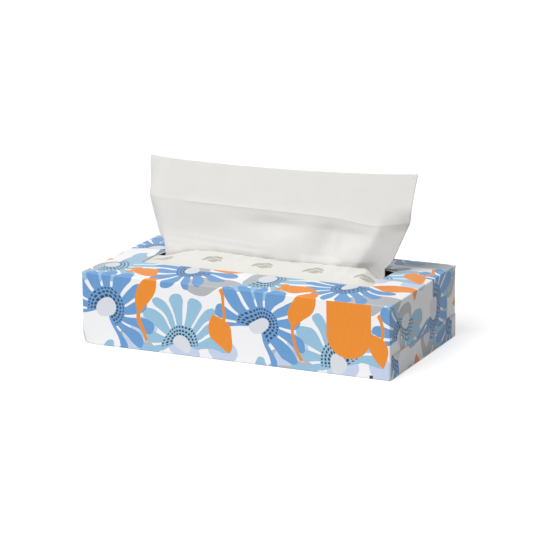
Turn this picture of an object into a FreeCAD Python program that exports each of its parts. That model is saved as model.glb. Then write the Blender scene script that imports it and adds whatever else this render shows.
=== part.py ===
import FreeCAD, Part
import Mesh
import math
import os
from collections import namedtuple

from FreeCAD import Vector

# A flat box of facial tissues, standing on its base with one sheet pulled up.
# Millimetres, +Z up, X along the box, origin at the middle of its underside.

# Carton, folded and glued from one blank of white-lined board
carton_length = 230.0
carton_width = 118.0
carton_height = 51.0
board = 0.5
fold_radius = 0.8
top_crown = 2.4
crown_flatness = 6
crown_columns = 21
crown_rows = 13
top_flap_drop = 34.0
flap_chamfer_in = 17.5
flap_chamfer_drop = 17.5
flap_knee_turn = 3.0
flap_tip_turn = 1.5
flap_seam = 0.3
dust_flap_reach = 45.0
dust_flap_taper = 4.0
dust_flap_gap = 0.4
glue_flap_width = 15.0

# Opening torn out of the top panel
opening_length = 172.0
opening_width = 50.0
opening_corner = 2.5

# Film glued under the top panel, with a lengthwise slit that the sheets come through
film = 0.2
film_glue = 0.2
film_lap = 10.0
film_lift = 6.0
film_free_edge = 2.0
film_columns = 33
film_rows = 19
film_left_slope = 30.0
film_right_slope = 11.0
film_swell = 1.2
slit_lip = 3.0
slit_margin = 1.4
slit_front_turn = 2.3
left_gape = 17.5
left_gape_turn = 3.0
right_gape_turn = 4.0
gape_slope_turn = 6.0

# One sheet, and the loose fold that its lower leaf makes on the stack
sheet = 0.3
leaf_fold = 1.2
slack = 0.3
turn_steps = 4
fold_steps = 6
sheet_columns = 57
sheet_levels = [2.0, 1.5, 1.04, 0.96, 0.82, 0.68, 0.54, 0.4, 0.28, 0.18, 0.09, 0.0]

# Room round the stack of folded sheets, and round the width of a sheet in it
stack_end_room = 12.0
stack_side_room = 6.5
stack_head_room = 10.0
sheet_end_room = 1.0
leaf_pitch = 2.5
fold_bulge = 0.6

# The pulled sheet above the slit: it leans back, with the crease that it was packed with
slit_rise = 6.0
crease_rise = 34.7
crease_fall = 2.9
crease_dip = 2.6
crease_dip_x = 73.0
crease_dip_reach = 18.0
crease_lean = 8.0
edge_rise = 25.4
edge_lean = 18.5
edge_sag = 0.00029
edge_low_x = 28.0
gather_depth = 1.9
gather_spacing = 22.0
gather_fade = 4.0
gather_free_end = 0.3
flat_bend = 1e-6

# Soft folds between slit and crease: x at the slit, x at the crease, half width, push back
soft_folds = [(-50, -44, 22, 1.8), (-12, 12, 17, -3.0), (6, 28, 7, 1.6), (48, 58, 13, -3.2)]

# Each end of the sheet at the slit: which side, room to the slit's end, radius that it curls back on,
# width taken up by gathers, how soon gathers and curl fade above the slit, and its free curve above
End = namedtuple("End", "side room curl gathered gather_fade curl_fade free_bend")
left_end = End(-1, 1.6, 8.0, 4.0, 4.0, 0.42, 1 / 27)
right_end = End(1, 1.6, 14.0, 8.5, 0.41, 0.83, 1 / 57)
free_flat = 84.0

# Sizes that follow from the ones above
stack_length = carton_length - 2 * stack_end_room
stack_width = carton_width - 2 * stack_side_room
stack_height = carton_height - 2 * board - stack_head_room
sheet_width = stack_length - 2 * sheet_end_room
sheet_length = 2 * (stack_width - sheet_end_room)
slit_height = carton_height + slit_rise
crease_height = slit_height + crease_rise
edge_height = crease_height + edge_rise
slit_end = opening_length / 2 - slit_margin
slit_back = opening_width / 2 - slit_margin

# How far a cutting block reaches past what it cuts, and how near facets' corners must be to join
past = 5.0
weld = 1e-5


def smooth_step(t):
    """Rises smoothly from 0 to 1 as t goes from 0 to 1."""
    t = min(max(t, 0.0), 1.0)
    return t * t * (3 - 2 * t)


def rounded_wire(corners, radii):
    """Closed wire through the corners, each turned with a tangent arc of its own radius."""
    stops = []
    for i, corner in enumerate(corners):
        to_last = (corners[i - 1] - corner).normalize()
        to_next = (corners[(i + 1) % len(corners)] - corner).normalize()
        half_turn = (math.pi - to_last.getAngle(to_next)) / 2
        cut = radii[i] * math.tan(half_turn)
        start = corner + to_last * cut
        end = corner + to_next * cut
        bisector = (to_last + to_next).normalize()
        middle = corner + bisector * (radii[i] / math.cos(half_turn) - radii[i])
        stops.append((start, middle, end))
    edges = []
    for i, (start, middle, end) in enumerate(stops):
        if radii[i] > 0:
            edges.append(Part.Arc(start, middle, end).toShape())
        edges.append(Part.LineSegment(end, stops[(i + 1) % len(stops)][0]).toShape())
    return Part.Wire(edges)


def prism(corners, radii, along):
    return Part.Face(rounded_wire(corners, radii)).extrude(along)


def outward(shell):
    """The solid inside a closed shell, turned right side out."""
    solid = Part.Solid(shell)
    if solid.Volume < 0:
        solid.reverse()
    return solid


def smooth_solid(front, back):
    """Solid between two smooth surfaces through grids of points of the same size."""
    faces = []
    for grid in (front, back):
        surface = Part.BSplineSurface()
        surface.interpolate(grid)
        faces.append(surface.toShape())
    rims = [Part.makeRuledSurface(a, b) for a, b in zip(faces[0].Edges, faces[1].Edges)]
    shell = Part.makeShell(faces + rims)
    shell.sewShape()
    return outward(Part.Shell(shell.Faces))


def faceted_solid(front, back):
    """Thin solid of flat facets between two grids of points of the same size."""
    rows = len(front) - 1
    columns = len(front[0]) - 1
    facets = []

    def quad(a, b, c, d):
        facets.extend([(a, b, c), (a, c, d)])

    for i in range(rows):
        for j in range(columns):
            quad(front[i][j], front[i + 1][j], front[i + 1][j + 1], front[i][j + 1])
            quad(back[i][j], back[i][j + 1], back[i + 1][j + 1], back[i + 1][j])
        quad(front[i][0], back[i][0], back[i + 1][0], front[i + 1][0])
        quad(front[i][-1], front[i + 1][-1], back[i + 1][-1], back[i][-1])
    for j in range(columns):
        quad(front[0][j], front[0][j + 1], back[0][j + 1], back[0][j])
        quad(front[-1][j], back[-1][j], back[-1][j + 1], front[-1][j + 1])
    shell = Part.Shape()
    shell.makeShapeFromMesh(Mesh.Mesh(facets).Topology, weld)
    return outward(shell)


def spread(low, high, count):
    return [low + (high - low) * i / (count - 1) for i in range(count)]


# Carton

def crown(x, y):
    """Rise of the top panel, bowed up in the middle by the sheets under it."""
    across = 1 - (2 * y / carton_width) ** 2
    along = 1 - (2 * x / carton_length) ** crown_flatness
    return top_crown * max(across, 0.0) * max(along, 0.0)


def folded_panel(half, reach, lay, along):
    """A flat panel with a flap folded in at each end, drawn by lay(a, b) and extruded."""
    inner = half - board
    corners = [
        lay(-half, reach), lay(-half, 0), lay(half, 0), lay(half, reach),
        lay(inner, reach), lay(inner, board), lay(-inner, board), lay(-inner, reach),
    ]
    outer_turn = fold_radius
    inner_turn = fold_radius - board
    radii = [0, outer_turn, outer_turn, 0, 0, inner_turn, inner_turn, 0]
    return prism(corners, radii, along)


def sleeve():
    """The four long panels, closed round the box."""
    half_length = carton_length / 2 - board - fold_radius
    rings = []
    for inset, turn in ((0, fold_radius), (board, fold_radius - board)):
        y = carton_width / 2 - inset
        low = inset
        high = carton_height - inset
        corners = [Vector(-half_length, a, b) for a, b in ((-y, low), (y, low), (y, high), (-y, high))]
        rings.append(prism(corners, [turn] * 4, Vector(2 * half_length, 0, 0)))
    return rings[0].cut(rings[1])


def top_flap_outline(sign):
    """Block that a top flap keeps: full width at the fold, then chamfered to a narrower tongue."""
    half = carton_width / 2 - fold_radius
    tongue = carton_width / 2 - flap_chamfer_in
    high = carton_height
    knee = carton_height - flap_chamfer_drop
    low = carton_height - top_flap_drop
    x = sign * (carton_length / 2 + past)
    corners = [
        Vector(x, -half, high + past), Vector(x, half, high + past), Vector(x, half, high - fold_radius),
        Vector(x, tongue, knee), Vector(x, tongue, low), Vector(x, -tongue, low),
        Vector(x, -tongue, knee), Vector(x, -half, high - fold_radius),
    ]
    radii = [0, 0, 0, flap_knee_turn, flap_tip_turn, flap_tip_turn, flap_knee_turn, 0]
    return prism(corners, radii, Vector(-sign * (past + fold_radius), 0, 0))


def top_and_flaps():
    half_width = carton_width / 2 - fold_radius
    start = -half_width
    panel = folded_panel(
        carton_length / 2, top_flap_drop,
        lambda a, b: Vector(a, start, carton_height - b), Vector(0, 2 * half_width, 0),
    )
    middle = Part.makeBox(
        carton_length - 2 * fold_radius, carton_width, carton_height,
        Vector(-carton_length / 2 + fold_radius, -carton_width / 2, 0),
    )
    kept = panel.common(middle)
    for sign in (-1, 1):
        kept = kept.fuse(panel.common(top_flap_outline(sign)))
    return kept


def bottom_and_flaps():
    half_width = carton_width / 2 - fold_radius
    reach = carton_height - top_flap_drop - flap_seam
    return folded_panel(
        carton_length / 2, reach,
        lambda a, b: Vector(a, -half_width, b), Vector(0, 2 * half_width, 0),
    )


def side_and_dust_flaps(side):
    """Front or back panel with its two dust flaps, folded in behind the outer flaps."""
    low = board + dust_flap_gap
    high = carton_height - board - dust_flap_gap
    panel = folded_panel(
        carton_length / 2 - board, dust_flap_reach,
        lambda a, b: Vector(a, side * (carton_width / 2 - b), low), Vector(0, 0, high - low),
    )
    near = side * (carton_width / 2 + past)
    fold = side * (carton_width / 2 - fold_radius)
    tip = side * (carton_width / 2 - dust_flap_reach)
    beyond = tip - side * past
    x = -carton_length / 2
    outline = [
        Vector(x, near, low), Vector(x, fold, low), Vector(x, tip, low + dust_flap_taper),
        Vector(x, beyond, low + dust_flap_taper), Vector(x, beyond, high - dust_flap_taper),
        Vector(x, tip, high - dust_flap_taper), Vector(x, fold, high), Vector(x, near, high),
    ]
    return panel.common(prism(outline, [0] * len(outline), Vector(carton_length, 0, 0)))


def glue_flap():
    """Strip of the bottom panel's edge, turned up and glued inside the back panel."""
    return Part.makeBox(
        carton_length - 4 * fold_radius, board, glue_flap_width,
        Vector(-carton_length / 2 + 2 * fold_radius, carton_width / 2 - 2 * board, board),
    )


def crowned_panel():
    """The part of the top panel that bows up."""
    xs = spread(-carton_length / 2 + fold_radius, carton_length / 2 - fold_radius, crown_columns)
    ys = spread(-carton_width / 2 + fold_radius, carton_width / 2 - fold_radius, crown_rows)
    sides = []
    for depth in (0, board):
        sides.append([[Vector(x, y, carton_height - depth + panel_rise(x, y)) for y in ys] for x in xs])
    return smooth_solid(sides[0], sides[1])


def panel_rise(x, y):
    """The crown, scaled to start exactly at the folds' inner ends."""
    half_x = carton_length / 2 - fold_radius
    half_y = carton_width / 2 - fold_radius
    return crown(x * carton_length / 2 / half_x, y * carton_width / 2 / half_y)


def opening_hole():
    half_x = opening_length / 2
    half_y = opening_width / 2
    low = carton_height / 2
    places = [(-half_x, -half_y), (half_x, -half_y), (half_x, half_y), (-half_x, half_y)]
    corners = [Vector(x, y, low) for x, y in places]
    return prism(corners, [opening_corner] * 4, Vector(0, 0, carton_height))


def carton():
    flat_middle = Part.makeBox(
        carton_length - 2 * fold_radius, carton_width - 2 * fold_radius, 3 * board,
        Vector(-carton_length / 2 + fold_radius, -carton_width / 2 + fold_radius, carton_height - 2 * board),
    )
    body = sleeve()
    for piece in (bottom_and_flaps(), side_and_dust_flaps(-1), side_and_dust_flaps(1), top_and_flaps()):
        body = body.fuse(piece)
    body = body.cut(flat_middle)
    body = body.fuse(glue_flap()).fuse(crowned_panel())
    return body.cut(opening_hole()).removeSplitter()


# Dispensing film

def film_height(x, y):
    """Height of the film's top: glued under the crowned panel, tented up along the slit."""
    glued = carton_height - board - film_glue + panel_rise(x, y)
    half_x = opening_length / 2 - film_free_edge
    half_y = opening_width / 2 - film_free_edge
    across = max(1 - (y / half_y) ** 2, 0.0) ** film_swell
    left = smooth_step((x + half_x) / film_left_slope)
    right = smooth_step((half_x - x) / film_right_slope)
    return glued + film_lift * across * left * right


def slit_hole():
    """The slit, held open by the sheet and gaping behind the sheet's curled ends."""
    low = carton_height / 2
    left_gape_x = -slit_end + 1.5 * left_end.curl
    left_neck = -slit_end + 2.4 * left_end.curl
    right_gape_x = slit_end - 0.7 * right_end.curl
    right_neck = slit_end - 1.5 * right_end.curl
    outline = [
        (-slit_end, -slit_lip, slit_front_turn), (slit_end, -slit_lip, slit_front_turn),
        (slit_end, slit_back, right_gape_turn), (right_gape_x, slit_back, right_gape_turn),
        (right_neck, slit_lip, gape_slope_turn), (left_neck, slit_lip, gape_slope_turn),
        (left_gape_x, left_gape, left_gape_turn), (-slit_end, left_gape, left_gape_turn),
    ]
    corners = [Vector(x, y, low) for x, y, _ in outline]
    return prism(corners, [turn for _, _, turn in outline], Vector(0, 0, carton_height))


def dispensing_film():
    half_x = opening_length / 2 + film_lap
    half_y = opening_width / 2 + film_lap
    xs = spread(-half_x, half_x, film_columns)
    ys = spread(-half_y, half_y, film_rows)
    sides = []
    for depth in (0, film):
        sides.append([[Vector(x, y, film_height(x, y) - depth) for x in xs] for y in ys])
    return faceted_solid(sides[0], sides[1]).cut(slit_hole())


# Pulled sheet

def curl(reach, flat, turn):
    """Place, out and back, of a point that lies reach from the middle along a sheet that is
    straight for flat and then curls back on a circle of radius turn."""
    curled = max(reach - flat, 0.0) / turn
    return min(reach, flat) + turn * math.sin(curled), turn * (1 - math.cos(curled))


def plan(across, hold, end_bend=None):
    """Seen from above, where the point lies at across (-1 to 1) over the sheet's width.
    hold is 1 where the slit gathers the sheet and 0 where it is free, with its free curve or end_bend."""
    end = left_end if across < 0 else right_end
    gathered = hold ** end.gather_fade
    bent = hold ** end.curl_fade
    free_bend = end.free_bend if end_bend is None else end_bend
    reach = abs(across) * (sheet_width / 2 - gathered * end.gathered)
    flat = mix(free_flat, slit_end - end.room - end.curl, gathered)
    out, back = curl(reach, flat, 1 / mix(free_bend, 1 / end.curl, bent))
    return end.side * out, back


def mix(free, held, hold):
    return free + (held - free) * hold


def gathers(across, amount):
    """Small upright folds that take up the width where the sheet is squeezed."""
    reach = across * sheet_width / 2
    fade = smooth_step((1 - abs(across)) / gather_free_end)
    return gather_depth * amount * fade * math.cos(2 * math.pi * reach / gather_spacing)


def soft_fold(x, level):
    """How far the loose folds between slit and crease push the sheet back at this place."""
    push = 0.0
    rise = math.sin(math.pi * min(max(level, 0.0), 1.0))
    for at_slit, at_crease, half_width, depth in soft_folds:
        middle = at_slit + (at_crease - at_slit) * level
        push += depth * rise * math.exp(-((x - middle) / half_width) ** 2)
    return push


def raised(across, level):
    """A point of the sheet above the slit: level 0 is the slit, 1 the crease and 2 the free edge."""
    hold = 1 - smooth_step(level)
    x, back = plan(across, hold)
    crease = crease_height - crease_fall * (x + sheet_width / 2) / sheet_width
    crease -= crease_dip * math.exp(-((x - crease_dip_x) / crease_dip_reach) ** 2)
    if level <= 1:
        z = slit_height + level * (crease - slit_height)
        lean = crease_lean * (1 - (1 - level) ** 2)
    else:
        edge = edge_height + edge_sag * (x + edge_low_x) ** 2
        z = crease + (level - 1) * (edge - crease)
        lean = crease_lean + (level - 1) * (edge_lean - crease_lean)
    ruffle = gathers(across, math.exp(-level * (crease_height - slit_height) / gather_fade))
    return Vector(x, lean + back + ruffle + soft_fold(x, level), z)


def sunk(across, y, z, hold):
    """A point of the sheet below the slit, on its way down to the stack and folded on it."""
    x, back = plan(across, hold, flat_bend)
    return Vector(x, y + back + gathers(across, hold), z)


def inside_path():
    """Places (y, z, hold) of the sheet inside the carton: down to the stack, forward over it,
    round a loose fold and back under itself, to the sheet's full length."""
    lower = board + stack_height + slack + sheet / 2
    upper = lower + 2 * leaf_fold
    under_film = carton_height - 3 * board
    turn = under_film - upper
    path = [(0, under_film, 1.0)]
    for step in range(1, turn_steps + 1):
        angle = math.pi / 2 * step / turn_steps
        path.append((-turn * (1 - math.cos(angle)), upper + turn * (1 - math.sin(angle)), 1 - step / turn_steps))
    fold_y = -stack_width / 2 + 2 * leaf_fold
    path.append((fold_y, upper, 0.0))
    for step in range(1, fold_steps):
        angle = math.pi * step / fold_steps
        path.append((fold_y - leaf_fold * math.sin(angle), lower + leaf_fold * (1 + math.cos(angle)), 0.0))
    path.append((fold_y, lower, 0.0))
    used = slit_height - under_film + math.pi / 2 * turn - fold_y - turn + math.pi * leaf_fold
    used += math.hypot(crease_height - slit_height, crease_lean)
    used += math.hypot(edge_height - crease_height, edge_lean - crease_lean)
    path.append((fold_y + sheet_length - used, lower, 0.0))
    return path


def moved_out(points, distance):
    """The same grid, each point moved out along the sheet's normal there."""
    rows = len(points)
    columns = len(points[0])
    moved = []
    for i in range(rows):
        line = []
        for j in range(columns):
            down = points[min(i + 1, rows - 1)][j] - points[max(i - 1, 0)][j]
            over = points[i][min(j + 1, columns - 1)] - points[i][max(j - 1, 0)]
            line.append(points[i][j] + down.cross(over).normalize() * distance)
        moved.append(line)
    return moved


def pulled_tissue():
    places = spread(-1.0, 1.0, sheet_columns)
    grid = [[raised(across, level) for across in places] for level in sheet_levels]
    grid += [[sunk(across, y, z, hold) for across in places] for y, z, hold in inside_path()]
    return faceted_solid(moved_out(grid, sheet / 2), moved_out(grid, -sheet / 2))


# Stack of sheets

def tissue_stack():
    """Interfolded sheets: flat ends, and long sides of rounded folds lying one on another."""
    folds = max(round(stack_height / leaf_pitch), 1)
    pitch = stack_height / folds
    x = -stack_length / 2
    y = stack_width / 2 - fold_bulge
    edges = []
    for i in range(folds):
        low = board + i * pitch
        high = low + pitch
        middle = (low + high) / 2
        for side in (-1, 1):
            edges.append(Part.Arc(
                Vector(x, side * y, low), Vector(x, side * (y + fold_bulge), middle), Vector(x, side * y, high),
            ).toShape())
    for z in (board, board + stack_height):
        edges.append(Part.LineSegment(Vector(x, -y, z), Vector(x, y, z)).toShape())
    outline = Part.Wire(Part.__sortEdges__(edges))
    return Part.Face(outline).extrude(Vector(stack_length, 0, 0))


pieces = {
    "carton": carton(),
    "dispensing_film": dispensing_film(),
    "pulled_tissue": pulled_tissue(),
    "tissue_stack": tissue_stack(),
}
os.makedirs("parts", exist_ok=True)
for name, shape in pieces.items():
    shape.exportStep(f"parts/{name}.step")
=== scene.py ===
import bmesh
import bpy
import math
import numpy as np
from mathutils import Matrix


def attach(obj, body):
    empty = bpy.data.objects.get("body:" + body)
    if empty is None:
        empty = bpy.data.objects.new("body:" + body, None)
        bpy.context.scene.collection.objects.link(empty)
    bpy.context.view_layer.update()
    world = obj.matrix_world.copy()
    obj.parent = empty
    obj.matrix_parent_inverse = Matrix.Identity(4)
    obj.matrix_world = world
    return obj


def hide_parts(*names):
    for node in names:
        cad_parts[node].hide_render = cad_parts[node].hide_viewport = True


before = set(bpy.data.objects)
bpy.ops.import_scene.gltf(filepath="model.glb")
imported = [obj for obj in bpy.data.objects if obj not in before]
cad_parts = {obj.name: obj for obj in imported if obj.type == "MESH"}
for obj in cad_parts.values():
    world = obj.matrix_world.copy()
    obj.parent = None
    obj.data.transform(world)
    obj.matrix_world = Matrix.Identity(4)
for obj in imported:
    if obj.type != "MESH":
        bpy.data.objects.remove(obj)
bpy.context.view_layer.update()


# Carton
# The real one is a single blank of white-lined board, printed, cut and creased in one stroke.
# Its long seam is glued behind the back panel; each end has two dust flaps, a low bottom flap
# and a top flap with chamfered sides glued over them.

carton_length = 230.0
carton_width = 118.0
carton_height = 51.0
board = 0.5
fold_radius = 0.8
top_crown = 2.4
opening_length = 172.0
opening_width = 50.0
opening_corner = 2.5
half_length = carton_length / 2 - fold_radius
half_width = carton_width / 2 - fold_radius
crease_gap = 0.4
weld = 1e-5


def smooth_step(t):
    """Rises smoothly from 0 to 1 as t goes from 0 to 1."""
    t = np.clip(t, 0.0, 1.0)
    return t * t * (3 - 2 * t)


def window(x, start, rise, end, fall):
    """1 between start and end, with smooth rises from 0 of the given lengths just inside them."""
    return smooth_step((x - start) / rise) * smooth_step((end - x) / fall)


def hump(x, middle, reach):
    """A bell curve, 1 at its middle and about a third at reach from it."""
    return np.exp(-((x - middle) / reach) ** 2)


def crown(x, y):
    """Rise of the top panel: a parabola across the box, times one minus a sixth power along it."""
    across = 1 - (y / half_width) ** 2
    along = 1 - (x / half_length) ** 6
    return top_crown * np.maximum(across, 0) * np.maximum(along, 0)


def with_ends(half, inner, count):
    """Even places from -inner to inner, with one more near each of them and one at each end, half."""
    even = np.linspace(-inner, inner, count)
    near_start = even[:1] + crease_gap
    near_end = even[-1:] - crease_gap
    return np.concatenate([[-half], even[:1], near_start, even[1:-1], near_end, even[-1:], [half]])


def side_by_side(*parts):
    """Arrays brought to one shape and put side by side in a last axis, such as x, y and z."""
    return np.stack(np.broadcast_arrays(*parts), axis=-1)


def length_along(x, y):
    """Length of a bent line up to each of its points."""
    return np.concatenate([[0], np.cumsum(np.hypot(np.diff(x), np.diff(y)))])


def arc(middle, radius, start, end, steps=6):
    """Points on an arc about middle, from angle start to angle end in degrees."""
    angles = np.radians(np.linspace(start, end, steps + 1))
    return side_by_side(middle[0] + radius * np.cos(angles), middle[1] + radius * np.sin(angles))


def build_piece(name, patches, materials):
    """One object from patches, each a grid of points in mm and its places on the flat blank in mm.
    Quads join neighbouring rows and columns and face along column step x row step, and edges that
    meet are welded."""
    points, flats, faces = [], [], []
    first = 0
    for grid, flat in patches:
        rows, columns = grid.shape[:2]
        number = first + np.arange(rows * columns).reshape(rows, columns)
        quads = np.stack([number[:-1, :-1], number[:-1, 1:], number[1:, 1:], number[1:, :-1]], axis=-1)
        points.append(grid.reshape(-1, 3) * 0.001)
        flats.append(flat.reshape(-1, 2))
        faces.append(quads.reshape(-1, 4))
        first += rows * columns
    points, flats, faces = (np.concatenate(part) for part in (points, flats, faces))
    mesh = bpy.data.meshes.new(name)
    mesh.from_pydata(points.tolist(), [], faces.tolist())
    mesh.uv_layers.new(name="blank").data.foreach_set("uv", flats[faces.ravel()].ravel())
    shell = bmesh.new()
    shell.from_mesh(mesh)
    bmesh.ops.remove_doubles(shell, verts=shell.verts, dist=weld)
    shell.to_mesh(mesh)
    shell.free()
    mesh.shade_smooth()
    for material in materials:
        mesh.materials.append(material)
    piece = bpy.data.objects.new(name, mesh)
    bpy.context.scene.collection.objects.link(piece)
    return piece


def thicken(piece, thickness, offset, inside=0, rim=0):
    """Gives a surface its thickness in mm, with other materials inside and on the cut edge."""
    wall = piece.modifiers.new("thickness", "SOLIDIFY")
    wall.thickness = thickness * 0.001
    wall.offset = offset
    wall.use_even_offset = True
    wall.material_offset = inside
    wall.material_offset_rim = rim


# Places along the blank (u, on X) and round the box (v: front 0 to 51, top 51 to 169, back 169 to 220)
front_top = carton_height
back_top = carton_height + carton_width
back_bottom = back_top + carton_height
low = fold_radius
high = carton_height - fold_radius
half_rise = (high - low) / 2
end_row = 0.3

along_x = with_ends(half_length, half_length - board, 47)
along_y = with_ends(half_width, half_width - board, 25)
up_z = with_ends(half_rise, half_rise - end_row, 13) + carton_height / 2


def fold_strip(y, z, start, end, at_start, at_end):
    """The turned crease of a long edge: an arc about y, z, swept along the box. Its places on the blank
    run from at_start to at_end."""
    path = arc((y, z), fold_radius, start, end)
    v = np.linspace(at_start, at_end, len(path))
    grid = side_by_side(along_x[None, :], path[:, :1], path[:, 1:])
    flat = side_by_side(along_x[None, :], v[:, None])
    return grid, flat


patches = [
    fold_strip(-half_width, low, 270, 180, -fold_radius, low),
    fold_strip(-half_width, high, 180, 90, high, front_top + fold_radius),
    fold_strip(half_width, high, 90, 0, back_top - fold_radius, back_top + fold_radius),
    fold_strip(half_width, low, 0, -90, back_bottom - fold_radius, back_bottom + fold_radius),
]

# Front and back panels, each in one piece with its two dust flaps, which taper and stand clear of the
# panels above and below them
dust_reach = 45.0
dust_taper = 4.0
dust_clearance = 0.4
clear_after = dust_reach / 40
flap_x = carton_length / 2 - board
corner = arc((half_length - board, half_width), fold_radius, 90, 0)[1:-1]
tuck = np.linspace(half_width, carton_width / 2 - dust_reach, 12)
side_x = np.concatenate([corner[:, 0], np.full(len(tuck), flap_x)])
side_y = np.concatenate([corner[:, 1], tuck])
panel_x = along_x[1:-1]
path_x = np.concatenate([-side_x[::-1], panel_x, side_x])
path_y = np.concatenate([side_y[::-1], np.full(len(panel_x), carton_width / 2), side_y])
path_u = length_along(path_x, path_y)
path_u -= path_u[-1] / 2
tucked = np.maximum(carton_width / 2 - path_y, 0)
clear = np.minimum(tucked / clear_after, 1) * dust_clearance + tucked / dust_reach * dust_taper
bottom_z = low + clear
top_z = high - clear
fraction = ((up_z - low) / (high - low))[:, None]
panel_z = bottom_z[None, :] + (top_z - bottom_z)[None, :] * fraction
for side in (-1, 1):
    v = panel_z if side < 0 else back_bottom - panel_z
    grid = side_by_side(path_x, side * path_y, panel_z)
    flat = side_by_side(path_u, v)
    patches.append((grid[::-side], flat[::-side]))

# Bottom panel with its low end flaps, which reach up to the top flaps' tongues
seam = 0.3
top_flap_drop = 34.0
low_reach = carton_height - top_flap_drop - seam
end_corner = arc((half_length, fold_radius), fold_radius, -90, 0)[1:-1]
flap_rise = np.linspace(fold_radius, low_reach, 6)
end_x = np.concatenate([end_corner[:, 0], np.full(len(flap_rise), carton_length / 2)])
end_z = np.concatenate([end_corner[:, 1], flap_rise])
low_x = np.concatenate([-end_x[::-1], along_x, end_x])
low_z = np.concatenate([end_z[::-1], np.zeros(len(along_x)), end_z])
low_u = length_along(low_x, low_z)
low_u -= low_u[-1] / 2
down_y = along_y[::-1, None]
bottom_middle = back_bottom + carton_width / 2
grid = side_by_side(low_x[None, :], down_y, low_z[None, :])
flat = side_by_side(low_u[None, :], bottom_middle - down_y)
patches.append((grid, flat))

# Top flaps: full width at the crease, chamfered to a tongue with rounded corners. Each row has its fall
# below the top panel, its half width (reach) and its place out along X
chamfer_in = 17.5
knee_drop = 17.5
tongue = carton_width / 2 - chamfer_in
tip_round = 1.5
knee_blend = 0.6
top_middle = front_top + carton_width / 2
flap_fold = arc((half_length, high), fold_radius, 90, 0, 5)[:-1]
tip_start = top_flap_drop - tip_round
flap_fall = np.concatenate([
    np.linspace(fold_radius, tip_start, 18),
    tip_start + tip_round * np.sin(np.linspace(0, np.pi / 2, 6)[1:]),
])
flap_out = np.concatenate([flap_fold[:, 0], np.full(len(flap_fall), carton_length / 2)])
flap_z = np.concatenate([flap_fold[:, 1], carton_height - flap_fall])
fall = carton_height - flap_z
chamfer = half_width - (half_width - tongue) * (fall - fold_radius) / (knee_drop - fold_radius)
past_tip = np.maximum(fall - tip_start, 0)
straight = tongue - tip_round + np.sqrt(np.maximum(tip_round ** 2 - past_tip ** 2, 0))
reach = 0.5 * (chamfer + tongue + np.sqrt((chamfer - tongue) ** 2 + knee_blend))
reach = np.where(past_tip > 0, straight, np.minimum(reach, half_width))
reach[fall <= fold_radius] = half_width
flap_u = half_length + length_along(flap_out, flap_z)
for end in (-1, 1):
    y = reach[:, None] * (along_y / half_width)[None, :] * end
    grid = side_by_side((end * flap_out)[:, None], y, flap_z[:, None])
    flat = side_by_side((end * flap_u)[:, None], top_middle + y)
    patches.append((grid[::-1], flat[::-1]))

# Top panel: rings between the outer creases and the torn-out opening
outer = np.concatenate([
    side_by_side(along_x, -half_width)[:-1],
    side_by_side(half_length, along_y)[:-1],
    side_by_side(along_x[::-1], half_width)[:-1],
    side_by_side(-half_length, along_y[::-1]),
])
inner = outer * [opening_length / 2 / half_length, opening_width / 2 / half_width]
straight_part = np.array([opening_length / 2 - opening_corner, opening_width / 2 - opening_corner])
past = np.maximum(np.abs(inner) - straight_part, 0)
in_corner = (past > 0).all(axis=1)
inner[in_corner] = np.sign(inner[in_corner]) * (
    straight_part + opening_corner * past[in_corner] / np.linalg.norm(past[in_corner], axis=1)[:, None]
)
rings = np.concatenate([[0, 0.01], np.linspace(0.06, 0.94, 12), [0.985, 1]])[:, None, None]
level = outer[None] * (1 - rings) + inner[None] * rings
grid = np.dstack([level, carton_height + crown(level[..., 0], level[..., 1])])
flat = np.dstack([level[..., 0], top_middle + level[..., 1]])
patches.append((grid, flat))

# The lower left front corner is a little crushed, as the photograph shows
crushed = np.array([-carton_length / 2, -carton_width / 2, 0])
crush_reach = 5.0
crush = np.array([0.96, 0.96, 0.8])
for grid, _ in patches:
    near = hump(np.linalg.norm(grid - crushed, axis=-1), 0, crush_reach)
    grid += near[..., None] * crush


def linear(code):
    """An sRGB hex code as linear red, green and blue, with full opacity."""
    parts = np.array([int(code[i:i + 2], 16) for i in (0, 2, 4)]) / 255
    parts = np.where(parts <= 0.04045, parts / 12.92, ((parts + 0.055) / 1.055) ** 2.4)
    return (*parts.tolist(), 1.0)


def add(tree, kind, *values, sockets=None, **settings):
    """Adds a node with its settings, and links or sets its sockets in order, or by name."""
    node = tree.nodes.new("ShaderNode" + kind)
    for key, value in settings.items():
        setattr(node, key, value)
    in_order = [socket for socket in node.inputs if socket.enabled]
    by_name = [(node.inputs[key], value) for key, value in (sockets or {}).items()]
    for socket, value in [*zip(in_order, values), *by_name]:
        if isinstance(value, bpy.types.Node):
            value = [out for out in value.outputs if out.enabled][0]
        if isinstance(value, bpy.types.NodeSocket):
            tree.links.new(value, socket)
        elif value is not None:
            socket.default_value = value
    return node


def new_material(name):
    """An empty material and its nodes."""
    material = bpy.data.materials.new(name)
    material.use_nodes = True
    material.node_tree.nodes.clear()
    return material, material.node_tree


# Raw board: pulp fibres pressed flat, greyish white, with a faint felt mark
raw_board, tree = new_material("raw_greyback_board")
place = add(tree, "TexCoord").outputs["Object"]
fibres = add(tree, "TexNoise", sockets={"Vector": place, "Scale": 900.0, "Detail": 4.0})
shade = add(tree, "Mix", fibres.outputs["Fac"], linear("c9c5bd"), linear("dcd9d2"), data_type="RGBA")
relief = add(tree, "Bump", sockets={"Height": fibres.outputs["Fac"], "Strength": 0.2, "Distance": 0.0001})
add(tree, "OutputMaterial", add(tree, "BsdfPrincipled", sockets={
    "Base Color": shade, "Roughness": 0.85, "Normal": relief,
}))

# Printed board: offset inks and a thin clear varnish on a clay-coated white liner. The eye gets flat
# areas of colour with a soft sheen, laid out on the flat blank so that they run on round the folds.


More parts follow.
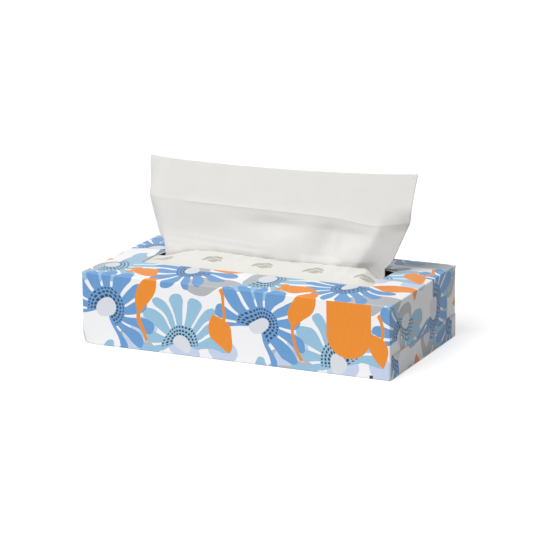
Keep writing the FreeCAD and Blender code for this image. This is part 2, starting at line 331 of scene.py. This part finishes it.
def local_place(tree, print_on, centre, turn):
    """Along and across in mm from a motif's centre, wrapped to the print's repeat and turned."""
    place, repeat = print_on
    half = (repeat[0] / 2, repeat[1] / 2, 500.0)
    offset = add(tree, "VectorMath", place, (*centre, 0.0), operation="SUBTRACT")
    wrapped = add(tree, "VectorMath", offset, half, tuple(-side for side in half), operation="WRAP")
    turned = add(tree, "VectorRotate", rotation_type="Z_AXIS", sockets={
        "Vector": wrapped, "Angle": -math.radians(turn),
    })
    parts = add(tree, "SeparateXYZ", turned)
    return parts.outputs["X"], parts.outputs["Y"]


def round_place(tree, print_on, centre, turn, half_spread):
    """Distance and angle from a motif's centre, and a mask of the angles within half_spread."""
    along, across = local_place(tree, print_on, centre, turn)
    distance = add(tree, "VectorMath", add(tree, "CombineXYZ", along, across, 0.0), operation="LENGTH")
    angle = add(tree, "Math", across, along, operation="ARCTAN2")
    turned = add(tree, "Math", angle, operation="ABSOLUTE")
    within = add(tree, "Math", turned, math.radians(half_spread), operation="LESS_THAN")
    return distance.outputs["Value"], angle, within


lobe_rounding = 0.4
lobe_share = 0.76


def fan(tree, print_on, centre, turn, radius, lobes, half_spread, heart):
    """A fan of rounded lobes: in each one the edge drops from the radius with the third power of the
    way to its side. A small heart stays open, and past it and a quarter of the radius the lobes part."""
    distance, angle, within = round_place(tree, print_on, centre, turn, half_spread)
    half = math.radians(half_spread) / lobes
    in_lobe = add(tree, "Math", angle, half, -half, operation="WRAP")
    off_middle = add(tree, "Math", in_lobe, operation="ABSOLUTE")
    share = add(tree, "Math", off_middle, 1 / half, operation="MULTIPLY")
    share = add(tree, "Math", share, 3.0, operation="POWER")
    edge = add(tree, "Math", share, -lobe_rounding * radius, radius, operation="MULTIPLY_ADD")
    room = add(tree, "Math", half * lobe_share, off_middle, operation="SUBTRACT")
    room = add(tree, "Math", room, distance, operation="MULTIPLY")
    inside = add(tree, "Math", distance, edge, operation="LESS_THAN")
    parted = add(tree, "Math", room, 0.0, operation="GREATER_THAN")
    near = add(tree, "Math", distance, heart + 0.25 * radius, operation="LESS_THAN")
    parted = add(tree, "Math", parted, near, operation="MAXIMUM")
    open_heart = add(tree, "Math", distance, heart, operation="GREATER_THAN")
    mask = add(tree, "Math", inside, parted, operation="MULTIPLY")
    mask = add(tree, "Math", mask, within, operation="MULTIPLY")
    return add(tree, "Math", mask, open_heart, operation="MULTIPLY")


def beads(tree, print_on, centre, turn, radius, count, half_spread, bead):
    """Round beads on an arc: a circle of radius bead in each of count steps."""
    distance, angle, within = round_place(tree, print_on, centre, turn, half_spread)
    half = math.radians(half_spread) / count
    in_step = add(tree, "Math", angle, half, -half, operation="WRAP")
    sideways = add(tree, "Math", in_step, distance, operation="MULTIPLY")
    outwards = add(tree, "Math", distance, radius, operation="SUBTRACT")
    from_bead = add(tree, "CombineXYZ", sideways, outwards, 0.0)
    from_bead = add(tree, "VectorMath", from_bead, operation="LENGTH")
    inside = add(tree, "Math", from_bead.outputs["Value"], bead, operation="LESS_THAN")
    return add(tree, "Math", inside, within, operation="MULTIPLY")


def leaf(tree, print_on, centre, turn, length, width, bend):
    """A leaf, pointed at both ends: as wide as a parabola along its length, on a bent middle line."""
    along, across = local_place(tree, print_on, centre, turn)
    squared = add(tree, "Math", along, along, operation="MULTIPLY")
    bent = add(tree, "Math", squared, bend, across, operation="MULTIPLY_ADD")
    offset = add(tree, "Math", bent, operation="ABSOLUTE")
    edge = add(tree, "Math", squared, -2 * width / length ** 2, width / 2, operation="MULTIPLY_ADD")
    return add(tree, "Math", offset, edge, operation="LESS_THAN")


def arc_stem(tree, print_on, centre, turn, radius, half_spread, width):
    """A bent stem: a ring of the given width, within half_spread of its middle."""
    distance, _, within = round_place(tree, print_on, centre, turn, half_spread)
    outwards = add(tree, "Math", distance, radius, operation="SUBTRACT")
    outwards = add(tree, "Math", outwards, operation="ABSOLUTE")
    inside = add(tree, "Math", outwards, width / 2, operation="LESS_THAN")
    return add(tree, "Math", inside, within, operation="MULTIPLY")


def round_spot(tree, print_on, centre, radius):
    """A disc."""
    distance, _, _ = round_place(tree, print_on, centre, 0, 180)
    return add(tree, "Math", distance, radius, operation="LESS_THAN")


# The print repeats every 115 mm along the blank and 100 mm round it. Slow noise pushes its places up to
# 6 mm about, so that the shapes look cut by hand
print_repeat = (115.0, 100.0)
push_about = (12.0, 12.0, 0.0)
printed_board, tree = new_material("offset_printed_board")
blank = add(tree, "UVMap", uv_map="blank").outputs["UV"]
wobble = add(tree, "TexNoise", sockets={"Vector": blank, "Scale": 0.045, "Detail": 0.0})
shift = add(tree, "VectorMath", wobble.outputs["Color"], (0.5, 0.5, 0.5), operation="SUBTRACT")
hand_cut = add(tree, "VectorMath", shift, push_about, blank, operation="MULTIPLY_ADD")
all_over = (hand_cut, print_repeat)
inks = {
    "grey": "b4b7bb", "lilac": "c5d3ea", "light blue": "95c1dc", "mid blue": "659bd1",
    "orange": "ee8c14", "navy": "1f3249", "white": "f6f6f8", "heart": "dcdfe6",
}

# Ink, shape, middle in mm, turn in degrees, and then the sizes that the shape's function names
motifs = [
    ("grey", leaf, (46, 3), -20, 38, 19, -0.005),
    ("grey", leaf, (97, 58), 15, 46, 24, 0.004),
    ("grey", leaf, (22, 90), 100, 34, 17, 0.004),
    ("lilac", round_spot, (47, 17), 8.5),
    ("lilac", round_spot, (39, 7), 7.5),
    ("lilac", round_spot, (108, 6), 9.5),
    ("lilac", round_spot, (58, 92), 8),
    ("lilac", round_spot, (80, 4), 11),
    ("grey", round_spot, (12, 73), 12),
    ("grey", round_spot, (74, 84), 12),
    ("light blue", fan, (78, 8), 98, 35, 9, 104, 5.5),
    ("light blue", fan, (14, 76), -20, 32, 9, 110, 5.5),
    ("mid blue", fan, (19, 27), 62, 35, 10, 128, 6),
    ("mid blue", fan, (74, 80), -105, 33, 9, 112, 6),
    ("orange", arc_stem, (64, 22), 168, 19, 52, 2.6),
    ("orange", leaf, (51, 44), 72, 32, 18, 0.006),
    ("orange", arc_stem, (88, 34), -8, 21, 45, 2.6),
    ("orange", leaf, (106, 20), 118, 28, 15, -0.006),
    ("orange", leaf, (103, 90), 8, 34, 16, 0.006),
    ("orange", leaf, (43, 64), -12, 24, 12, 0.006),
    ("orange", round_spot, (34, 70), 3.2),
    ("orange", round_spot, (31, 63), 2.6),
]

# Each fan has a pale heart, with three rows of beads round it: radius of the row, and of its beads
heart_radius = 6.2
bead_rows = [(7.4, 0.95), (10.2, 0.9), (13.0, 0.75)]
bead_spacing = 75
fans = [sizes for _, shape, *sizes in motifs if shape is fan]
for centre, turn, _, _, half_spread, _ in fans:
    motifs.append(("heart", round_spot, centre, heart_radius))
    for row, bead in bead_rows:
        count = round(row * half_spread / bead_spacing)
        motifs.append(("navy", beads, centre, turn, row, count, half_spread - row, bead))
colour = linear(inks["white"])
for ink, shape, *sizes in motifs:
    mask = shape(tree, all_over, *sizes)
    colour = add(tree, "Mix", mask, colour, linear(inks[ink]), data_type="RGBA")

# A plain tab of colour low on the front, square at the top edge and round below
tab_middle = (85.0, 28.0, 0.0)
tab_round = 16.0
tab_rise = 22.4
from_tab = add(tree, "VectorMath", blank, tab_middle, operation="SUBTRACT")
parts = add(tree, "SeparateXYZ", from_tab)
below = add(tree, "Math", parts.outputs["Y"], 0.0, operation="MINIMUM")
to_side = add(tree, "Math", parts.outputs["X"], operation="ABSOLUTE")
outwards = add(tree, "VectorMath", add(tree, "CombineXYZ", to_side, below, 0.0), operation="LENGTH")
in_round = add(tree, "Math", outwards.outputs["Value"], tab_round, operation="LESS_THAN")
under_edge = add(tree, "Math", parts.outputs["Y"], tab_rise, operation="LESS_THAN")
tab = add(tree, "Math", in_round, under_edge, operation="MULTIPLY")
colour = add(tree, "Mix", tab, colour, linear(inks["orange"]), data_type="RGBA")

# A small square print mark at the front panel's lower right
mark_middle = (101.2, 1.2, 0.0)
mark_half = 1.3
from_mark = add(tree, "VectorMath", blank, mark_middle, operation="SUBTRACT")
from_mark = add(tree, "VectorMath", from_mark, operation="ABSOLUTE")
parts = add(tree, "SeparateXYZ", from_mark)
off_mark = add(tree, "Math", parts.outputs["X"], parts.outputs["Y"], operation="MAXIMUM")
mark = add(tree, "Math", off_mark, mark_half, operation="LESS_THAN")
colour = add(tree, "Mix", mark, colour, linear(inks["navy"]), data_type="RGBA")

# Uneven ink, a few percent paler in soft drawn-out patches
drawn = add(tree, "Mapping", sockets={"Vector": blank, "Scale": (0.5, 0.12, 1.0)})
uneven = add(tree, "TexNoise", sockets={"Vector": drawn, "Scale": 1.0, "Detail": 3.0})
paler = add(tree, "Math", uneven.outputs["Fac"], 0.05, operation="MULTIPLY")
colour = add(tree, "Mix", paler, colour, linear(inks["white"]), data_type="RGBA")
varnish = add(tree, "TexNoise", sockets={"Vector": blank, "Scale": 0.7, "Detail": 3.0})
relief = add(tree, "Bump", sockets={"Height": varnish.outputs["Fac"], "Strength": 0.08, "Distance": 0.0002})
add(tree, "OutputMaterial", add(tree, "BsdfPrincipled", sockets={
    "Base Color": colour, "Roughness": 0.45, "Specular IOR Level": 0.32, "Normal": relief,
}))

carton = build_piece("carton_board", patches, [printed_board, raw_board])
thicken(carton, board, -1.0, inside=1, rim=1)
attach(carton, "root")
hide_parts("carton")


# Dispensing film
# A thin blown polyethylene film glued under the opening, cut along the middle so that each sheet
# is held as it comes out. The sheet tents it up, and it gapes behind the sheet's curled ends.

film_glue = 0.2
film_lap = 10.0
film_lift = 6.0
film_free_edge = 2.0
film_left_slope = 30.0
film_right_slope = 11.0
film_thickness = 0.12
slit_lip = 1.8
slit_reach = 84.4

# Low waves along the slit's edge: place and rise, and their reach
film_waves = [(-38, 0.9), (14, -0.9)]
wave_reach = 16


def film_height(x, y):
    """The glued film follows the crowned panel; between the opening's edges it is drawn up almost
    straight to the slit, like a tent, and slopes down smoothly at both ends. Two sines wrinkle it."""
    glued = carton_height - board - film_glue + crown(x, y)
    half_x = opening_length / 2 - film_free_edge
    half_y = opening_width / 2 - film_free_edge
    inwards = np.maximum(1 - np.abs(y) / half_y, 0)
    across = 0.25 * smooth_step(1.6 * inwards) + 0.82 * inwards
    ends = window(x, -half_x, film_left_slope, half_x, film_right_slope)
    wave = sum(rise * hump(x, middle, wave_reach) for middle, rise in film_waves)
    wrinkle = 0.16 * np.sin(x * 0.55 + 0.11 * y) + 0.12 * np.sin(x * 1.25 - 0.3 * y)
    return glued + across * ends * (film_lift + wave + wrinkle)


# The slit's two lips by x. The front one is straight; the back one gapes behind the sheet's curled ends,
# and more columns stand where it turns
lip_x = np.array([-96, -84.9, -slit_reach, -82, -73.5, -66.5, -63, 55, 59.5, 71, 76, slit_reach, 84.9, 96])
front_lip = np.where(np.abs(lip_x) <= slit_reach, -slit_lip, 0.0)
back_lip = np.array([0, 0, 14.5, 17.2, 17.2, 3.6, slit_lip, slit_lip, 3.8, 21.5, 23.4, 20.0, 0, 0])
film_edge = opening_width / 2 + film_lap
film_x = np.unique(np.concatenate([
    lip_x, np.linspace(lip_x[0], lip_x[-1], 150), np.linspace(56, 74, 24), np.linspace(-76, -64, 16),
]))
rows = np.linspace(0, 1, 26)[:, None]
film_patches = []
for side, lip in ((-1, front_lip), (1, back_lip)):
    lip_y = np.interp(film_x, lip_x, lip)[None, :]
    y = side * film_edge + (lip_y - side * film_edge) * rows
    grid = side_by_side(film_x, y, film_height(film_x, y))[::-side]
    film_patches.append((grid, grid[..., :2].copy()))

# Blown polyethylene: to the eye milky white with a soft low gloss, and with faint marks across it where
# it is drawn tight between the glue and the slit. A pale print of small sprigs repeats every 38 mm
film_material, tree = new_material("blown_polyethylene_film")
place = add(tree, "UVMap", uv_map="blank").outputs["UV"]
stretch = add(tree, "Mapping", sockets={"Vector": place, "Scale": (0.25, 0.05, 1.0)})
draw = add(tree, "TexNoise", sockets={"Vector": stretch, "Scale": 1.0, "Detail": 3.0})
in_row = (place, (38.0, 26.0))
sprig = [
    (leaf, (-3.0, -11.5), 28, 10, 3.0, 0.03), (leaf, (4.0, -9.5), -8, 9, 2.6, 0.03),
    (leaf, (2.5, -13.5), 12, 11, 2.8, -0.03), (arc_stem, (1.0, -24.0), 90, 12.5, 34, 0.9),
]
tint = linear("efede6")
film_print = linear("bdbcb2")
for shape, *sizes in sprig:
    mask = shape(tree, in_row, *sizes)
    tint = add(tree, "Mix", mask, tint, film_print, data_type="RGBA")
relief = add(tree, "Bump", sockets={"Height": draw.outputs["Fac"], "Strength": 0.25, "Distance": 0.0006})
add(tree, "OutputMaterial", add(tree, "BsdfPrincipled", sockets={
    "Base Color": tint, "Roughness": 0.38, "Normal": relief,
    "Subsurface Weight": 0.2, "Subsurface Radius": (0.004, 0.004, 0.0035), "Subsurface Scale": 1.0,
}))

film = build_piece("slit_film", film_patches, [film_material])
thicken(film, film_thickness, -1.0)
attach(film, "root")
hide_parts("dispensing_film")


# Stack of sheets
# Two-ply tissues folded once and interleaved by machine, pressed into a block: cut edges at its
# ends, and soft rounded folds, one on another, along its long sides.

stack_length = 206.0
stack_width = 105.0
stack_height = 40.0
stack_foot = 0.02
fold_bulge = 1.0
fold_inset = 0.6
folds = 46
steps_per_fold = 5

# Each fold bulges in a blunt half sine, and two slower sines let some of them stand in a little
fold_level = np.arange(folds * steps_per_fold + 1) / steps_per_fold
bulge = fold_bulge * np.abs(np.sin(np.pi * fold_level)) ** 0.7
uneven = 0.35 * np.sin(fold_level * 1.7) + 0.25 * np.sin(fold_level * 0.53 + 1)
side_y = stack_width / 2 - fold_bulge - fold_inset + bulge + fold_inset * (uneven - uneven.max())
side_z = board + stack_foot + (stack_height - stack_foot) * fold_level / folds
stack_x = np.linspace(-stack_length / 2, stack_length / 2, 9)
stack_patches = []
for side in (-1, 1):
    grid = side_by_side(stack_x[None, :], (side * side_y)[:, None], side_z[:, None])[::-side]
    stack_patches.append((grid, grid[..., ::2].copy()))
    across = np.linspace(-1, 1, 7)[None, :] * side_y[:, None] * side
    grid = side_by_side(side * stack_length / 2, across, side_z[:, None])
    stack_patches.append((grid, grid[..., 1:].copy()))
for row, facing in ((0, -1), (-1, 1)):
    across = (np.linspace(-1, 1, 7) * side_y[row])[:, None]
    grid = side_by_side(stack_x[None, :], across, side_z[row])[::facing]
    stack_patches.append((grid, grid[..., :2].copy()))

# Tissue paper: loose creped wood fibre, matt and soft, with a fine crepe every 0.4 mm or so,
# drawn three times as coarse so that it shows
tissue_material, tree = new_material("creped_tissue_paper")
place = add(tree, "UVMap", uv_map="blank").outputs["UV"]
crepe_place = add(tree, "Mapping", sockets={"Vector": place, "Scale": (0.8, 0.12, 1.0)})
crepe = add(tree, "TexNoise", sockets={"Vector": crepe_place, "Scale": 1.0, "Detail": 3.0})
cloud = add(tree, "TexNoise", sockets={"Vector": place, "Scale": 0.05, "Detail": 2.0})
shade = add(tree, "Mix", cloud.outputs["Fac"], linear("dfddd9"), linear("e6e4e0"), data_type="RGBA")
relief = add(tree, "Bump", sockets={"Height": crepe.outputs["Fac"], "Strength": 0.25, "Distance": 0.0003})
add(tree, "OutputMaterial", add(tree, "BsdfPrincipled", sockets={
    "Base Color": shade, "Roughness": 0.95, "Specular IOR Level": 0.2, "Normal": relief,
    "Subsurface Weight": 0.25, "Subsurface Radius": (0.003, 0.003, 0.003), "Subsurface Scale": 1.0,
}))

stack = build_piece("folded_sheets", stack_patches, [tissue_material])
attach(stack, "root")
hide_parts("tissue_stack")


# Pulled sheet
# One two-ply tissue, 204 mm across and 208 mm long, pulled half way out. Its lower leaf lies folded
# on the stack; above the slit it curls back at both ends and keeps the crease it was packed with.

sheet_width = 204.0
sheet_length = 208.0
sheet_thickness = 0.25
slit_height = carton_height + 6.0
crease_height = slit_height + 34.7
edge_height = crease_height + 25.4
crease_fall = 2.9
crease_dip = 2.6
crease_dip_x = 73.0
crease_dip_reach = 18.0
crease_lean = 8.0
lean_power = 1.1
edge_lean = 18.5
edge_sag = 0.00029
edge_low_x = 28.0
leaf_fold = 1.2
leaf_gap = 0.45
straight_half = 84.0
barely_turned = 1e-3

# Small upright gathers at the slit, the crease's thin ridge, and faint lines across just above the slit.
# A span is what window takes: where it starts, its rise, where it ends and its fall
gather_depth = 0.7
gather_fade = 4.0
gather_spacing = 22.0
fine_spacing = 13.3
ridge_depth = 0.7
ridge_half = 1.6
ridge_span = (-76, 16, 84, 16)
streak_depth = 0.14
streak_height = 6.0
streak_reach = 4.5
streak_step = 1.3
streak_slope = 0.045
streak_span = (-90, 15, 10, 30)

# Soft folds between slit and crease: x at the slit, x at the crease, half width, level of the middle,
# half height in levels, push back in mm. They die out at the slit and the crease
soft_span = (0, 0.18, 1, 0.3)
soft_folds = [
    (-60, -56, 36, 0.38, 0.32, 2.2), (-4, 4, 22, 0.7, 0.2, 2.6), (0, 8, 12, 0.34, 0.22, -1.2),
    (40, 44, 12, 0.42, 0.45, 4.9), (45, 49, 3, 0.5, 0.3, -0.9), (58, 62, 11, 0.7, 0.18, 1.6),
    (62, 66, 11, 0.3, 0.25, -2.4),
]


tight_below = 0.25
wing_opens = 0.78
wing_open_rise = 0.6


def left_end(level, hold):
    """The left end by level: width taken in, straight part, radius and angle of its turn back. It turns
    gently, and only in the lowest quarter does it wind up tight; hold unwinds it inside the carton."""
    lower = np.minimum(level, 1)
    tight = np.maximum(1 - level / tight_below, 0) ** 2
    taken = 0.8 + 9.5 * (1 - lower) ** 1.3
    straight = straight_half - 9 * (1 - lower) * hold
    radius = 8 + 10 * lower
    angle = 0.84 - 0.18 * lower - 0.46 * smooth_step(level - 1) + tight
    return taken * hold, straight, radius, angle * hold + barely_turned


def right_end(level, hold):
    """The right end by level, as for the left: a slanting fold, then a flat wing that opens out near
    and above the crease."""
    lower = np.minimum(level, 1)
    upper = np.maximum(level - 1, 0)
    at_slit = np.maximum(1 - lower / 0.2, 0) ** 2
    taken = 2.5 * (1 - upper) + 12 * (1 - lower) + 3 * at_slit
    straight = straight_half - (22 - 16 * lower) * hold
    radius = 9 + 60 * upper
    angle = 0.46 - 0.4 * smooth_step((level - wing_opens) / wing_open_rise)
    return taken * hold, straight, radius, angle * hold + barely_turned


def plan(across, level, hold):
    """Seen from above, a sheet that is straight in the middle, turns back round an arc at each end and
    then goes on straight."""
    sides = [np.broadcast_arrays(*end(level, hold)) for end in (left_end, right_end)]
    taken, straight, radius, angle = (np.where(across > 0, *pair) for pair in zip(sides[1], sides[0]))
    reach = np.abs(across) * (sheet_width / 2 - taken)
    past = np.maximum(reach - straight, 0)
    turned = np.minimum(past / radius, angle)
    wing = np.maximum(past - radius * angle, 0)
    out = np.minimum(reach, straight) + radius * np.sin(turned) + wing * np.cos(angle)
    return np.sign(across) * out, radius * (1 - np.cos(turned)) + wing * np.sin(angle)


def gathers(across, amount):
    """Small uneven upright folds: two cosines along the slit that fade out towards the sheet's edges."""
    fade = smooth_step((1 - np.abs(across)) / 0.3)
    place = 2 * np.pi * across * sheet_width / 2
    waves = 0.6 * np.cos(place / gather_spacing) + 0.4 * np.cos(place / fine_spacing + 1)
    return gather_depth * amount * fade * waves


def raised(across, level):
    """The sheet above the slit, by level: 0 at the slit, 1 at the crease and 2 at the free edge. Its lean
    grows by a power of the way left to the crease, and evenly above it. Soft folds are bell curves
    along the sheet and up it, and the crease stands out as a thin ridge."""
    x, back = plan(across, level, 1.0)
    crease = crease_height - crease_fall * (x + sheet_width / 2) / sheet_width
    crease = crease - crease_dip * hump(x, crease_dip_x, crease_dip_reach)
    edge = edge_height + edge_sag * (x + edge_low_x) ** 2
    lower = np.minimum(level, 1)
    upper = np.maximum(level - 1, 0)
    z = slit_height + lower * (crease - slit_height) + upper * (edge - crease)
    lean = crease_lean * (1 - (1 - lower) ** lean_power) + upper * (edge_lean - crease_lean)
    held = window(lower, *soft_span)
    push = 0
    for at_slit, at_crease, reach, middle, tall, depth in soft_folds:
        line = at_slit + (at_crease - at_slit) * lower
        push = push + depth * held * hump(x, line, reach) * hump(lower, middle, tall)
    from_crease = np.abs(level - 1) * (crease_height - slit_height)
    ridge = ridge_depth * np.exp(-from_crease / ridge_half) * window(x, *ridge_span)
    from_slit = level * (crease_height - slit_height)
    streaks = np.sin(from_slit * streak_step + streak_slope * x)
    streaks = streaks * hump(from_slit, streak_height, streak_reach) * streak_depth
    streaks = streaks * window(x, *streak_span)
    ruffle = gathers(across, np.exp(-from_slit / gather_fade))
    return side_by_side(x, lean + back + ruffle + push - ridge + streaks, z)


def sunk(across, path):
    """The sheet inside the carton: rows of y, z and hold along the path down and over the stack."""
    y, z, hold = (path[:, i:i + 1] for i in range(3))
    x, back = plan(np.broadcast_to(across, (len(path), across.shape[1])), np.zeros_like(hold), hold)
    return side_by_side(x, y + back + gathers(across, hold), z)


# The way down: forward and down from the slit, along the stack to its front, and round into a fold
lower_leaf = board + stack_height + leaf_gap
upper_leaf = lower_leaf + 2 * leaf_fold
under_film = carton_height - 3 * board
turn_radius = under_film - upper_leaf
quarter = np.linspace(0, np.pi / 2, 12)
down = side_by_side(
    -turn_radius * (1 - np.cos(quarter)), upper_leaf + turn_radius * (1 - np.sin(quarter)),
    1 - quarter / (np.pi / 2),
)
fold_y = -stack_width / 2 + 2 * leaf_fold
forward = side_by_side(np.linspace(-turn_radius, fold_y, 14)[1:-1], upper_leaf, 0)
half_turn = np.linspace(0, np.pi, 9)
round_fold = side_by_side(
    fold_y - leaf_fold * np.sin(half_turn), lower_leaf + leaf_fold * (1 + np.cos(half_turn)), 0,
)

# What is left of the sheet's length lies on the stack as its lower leaf
used = slit_height - under_film + math.pi / 2 * turn_radius - fold_y - turn_radius + math.pi * leaf_fold
used += math.hypot(crease_height - slit_height, crease_lean)
used += math.hypot(edge_height - crease_height, edge_lean - crease_lean)
backward = side_by_side(np.linspace(fold_y, fold_y + sheet_length - used, 16)[1:], lower_leaf, 0)
inside = np.vstack([down, forward, round_fold, backward])

# Rows from the free edge down, closer together about the crease
across = np.linspace(-1, 1, 221)[None, :]
levels = np.concatenate([
    np.linspace(2, 1.06, 40), np.linspace(1.04, 0.9, 15), np.linspace(0.88, 0, 62),
])[:, None]
grid = np.vstack([raised(*np.broadcast_arrays(across, levels)), sunk(across, inside)])
middle_line = grid[:, grid.shape[1] // 2]
run = np.linalg.norm(np.diff(middle_line, axis=0), axis=-1)
down_sheet = np.concatenate([[0], np.cumsum(run)])[:, None]
flat = side_by_side(across * sheet_width / 2, sheet_length - down_sheet)

sheet = build_piece("pulled_sheet", [(grid[::-1], flat[::-1])], [tissue_material])
thicken(sheet, sheet_thickness, 0.0)
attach(sheet, "root")
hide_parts("pulled_tissue")


# Floor, light and camera
# A pale floor that takes a soft shadow, an even pale surround, one broad soft lamp from the front
# left, and the camera where the photograph was taken from.

floor_half = 40.0
floor_glow = 0.66
surround_light = 0.29


def seen_directly(tree):
    """1 for what the camera sees, straight, in a gloss or through something clear, and 0 for light."""
    path = add(tree, "LightPath")
    straight = path.outputs["Is Camera Ray"]
    seen = add(tree, "Math", straight, path.outputs["Is Glossy Ray"], operation="MAXIMUM")
    return add(tree, "Math", seen, path.outputs["Is Transmission Ray"], operation="MAXIMUM")


floor_mesh = bpy.data.meshes.new("floor")
floor_corners = [(x * floor_half, y * floor_half, 0) for x, y in ((-1, -1), (1, -1), (1, 1), (-1, 1))]
floor_mesh.from_pydata(floor_corners, [], [(0, 1, 2, 3)])
floor = bpy.data.objects.new("floor", floor_mesh)
bpy.context.scene.collection.objects.link(floor)
floor_material, tree = new_material("pale_floor")
glow = add(tree, "Math", seen_directly(tree), floor_glow, operation="MULTIPLY")
matt = add(tree, "BsdfDiffuse", linear("bcbcbc"))
lit = add(tree, "AddShader", matt, add(tree, "Emission", linear("ffffff"), glow))
add(tree, "OutputMaterial", lit)
floor_mesh.materials.append(floor_material)

world = bpy.data.worlds.new("surround")
bpy.context.scene.world = world
world.use_nodes = True
tree = world.node_tree
tree.nodes.clear()
strength = add(tree, "Mix", seen_directly(tree), surround_light, 1.0, data_type="FLOAT")
add(tree, "OutputWorld", add(tree, "Background", linear("ffffff"), strength))

lamp = bpy.data.lights.new("soft_key", "SUN")
lamp.energy = 2.72
lamp.angle = math.radians(35)
key = bpy.data.objects.new("soft_key", lamp)
key.rotation_euler = (math.radians(41.5), 0, math.radians(-18))
bpy.context.scene.collection.objects.link(key)

# The camera was fitted to the box's corners in the photograph: where it stands, and its right and
# forward directions
camera_data = bpy.data.cameras.new("camera")
camera_data.lens = 173.5
camera_data.shift_x = 0.0012
camera_data.sensor_width = 36.0
camera = bpy.data.objects.new("camera", camera_data)
stand = (0.7499, -1.5984, 0.5085)
right = np.array([0.907, 0.421, -0.008])
ahead = np.array([-0.4091, 0.8766, -0.2533])
ahead /= np.linalg.norm(ahead)
right -= ahead * right.dot(ahead)
right /= np.linalg.norm(right)
placing = np.eye(4)
placing[:3] = np.column_stack([right, np.cross(right, ahead), -ahead, stand])
camera.matrix_world = Matrix(placing.tolist())
bpy.context.scene.collection.objects.link(camera)
bpy.context.scene.camera = camera
bpy.context.scene.view_settings.view_transform = "Standard"
